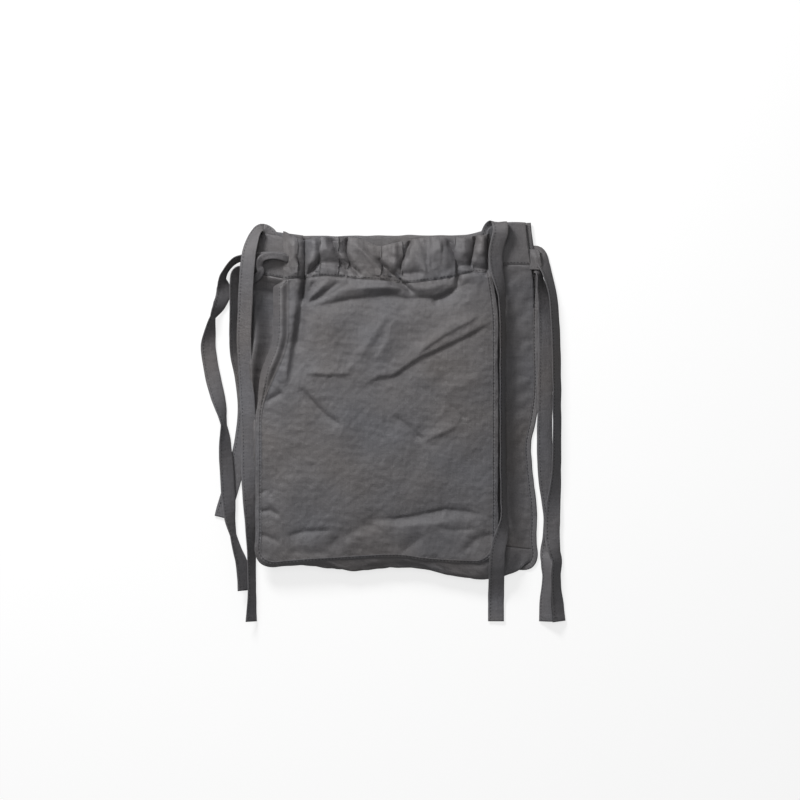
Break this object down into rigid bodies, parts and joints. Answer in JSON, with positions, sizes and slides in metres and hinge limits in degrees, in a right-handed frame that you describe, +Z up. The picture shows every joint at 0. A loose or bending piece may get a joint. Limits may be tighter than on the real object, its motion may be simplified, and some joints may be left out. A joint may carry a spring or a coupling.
{
  "type": "drawstring knot-tie bag",
  "caption": "Soft charcoal cotton box-sided bag lying flat, with drawstring tapes in a gathered mouth casing and knot ties at the side gussets.",
  "frame": {"origin": "centre of the sewn bag's footprint, on the surface that its back lies on, without the tapes", "axes": "+Z up out of the front panel, +Y from the base to the mouth, +X to the right seen from above"},
  "size_m": [0.3675, 0.4068, 0.0293],
  "materials": {
    "charcoal_cotton": "matte",
    "tape_cotton": "matte"
  },
  "bodies": {
    "bag_back": {"back_panel": "charcoal_cotton", "back_seam": "charcoal_cotton", "left_gusset": "charcoal_cotton", "right_gusset": "charcoal_cotton", "back_casing": "charcoal_cotton", "left_gusset_casing": "charcoal_cotton", "right_gusset_casing": "charcoal_cotton", "left_string_back_run": "tape_cotton", "right_string_back_run": "tape_cotton", "left_string_left_run": "tape_cotton", "right_string_left_run": "tape_cotton", "left_string_right_run": "tape_cotton", "right_string_right_run": "tape_cotton", "left_string_front_link": "tape_cotton", "left_string_gusset_link": "tape_cotton", "right_string_gusset_link": "tape_cotton", "right_string_back_link": "tape_cotton", "left_knot_tie_end": "tape_cotton", "right_knot_tie_end": "tape_cotton"},
    "bag_front": {"front_panel": "charcoal_cotton", "front_seam": "charcoal_cotton", "front_casing": "charcoal_cotton", "base_gusset": "charcoal_cotton", "left_string_front_run": "tape_cotton", "right_string_front_run": "tape_cotton"},
    "left_string_front_tail": {"left_string_front_tail": "tape_cotton"},
    "left_string_gusset_tail": {"left_string_gusset_tail": "tape_cotton"},
    "right_string_gusset_tail": {"right_string_gusset_tail": "tape_cotton"},
    "right_string_back_tail": {"right_string_back_tail": "tape_cotton"},
    "left_knot_tie": {"left_knot_tie": "tape_cotton"},
    "right_knot_tie": {"right_knot_tie": "tape_cotton"}
  },
  "joints": [
    {"name": "mouth_open", "type": "hinge", "parent": "bag_back", "child": "bag_front", "pos_m": [0, -0.1715, 0.001], "axis": [1, 0, 0], "range_deg": [0, 5.4]},
    {"name": "left_string_front_tail_lift", "type": "hinge", "parent": "bag_back", "child": "left_string_front_tail", "pos_m": [-0.1743, 0.119, 0.014], "axis": [-1, 0, 0], "range_deg": [0, 120]},
    {"name": "left_string_gusset_tail_lift", "type": "hinge", "parent": "bag_back", "child": "left_string_gusset_tail", "pos_m": [-0.167, 0.0918, 0.0152], "axis": [-1, 0, 0], "range_deg": [0, 120]},
    {"name": "right_string_gusset_tail_lift", "type": "hinge", "parent": "bag_back", "child": "right_string_gusset_tail", "pos_m": [0.1487, 0.1146, 0.0137], "axis": [-1, 0, 0], "range_deg": [0, 120]},
    {"name": "right_string_back_tail_lift", "type": "hinge", "parent": "bag_back", "child": "right_string_back_tail", "pos_m": [0.1555, 0.118, 0.0162], "axis": [-1, 0, 0], "range_deg": [0, 120]},
    {"name": "left_knot_tie_lift", "type": "hinge", "parent": "bag_back", "child": "left_knot_tie", "pos_m": [-0.127, 0.1758, 0.0144], "axis": [-1, 0, 0], "range_deg": [0, 125]},
    {"name": "right_knot_tie_lift", "type": "hinge", "parent": "bag_back", "child": "right_knot_tie", "pos_m": [0.098, 0.1812, 0.0136], "axis": [-1, 0, 0], "range_deg": [0, 125]}
  ]
}
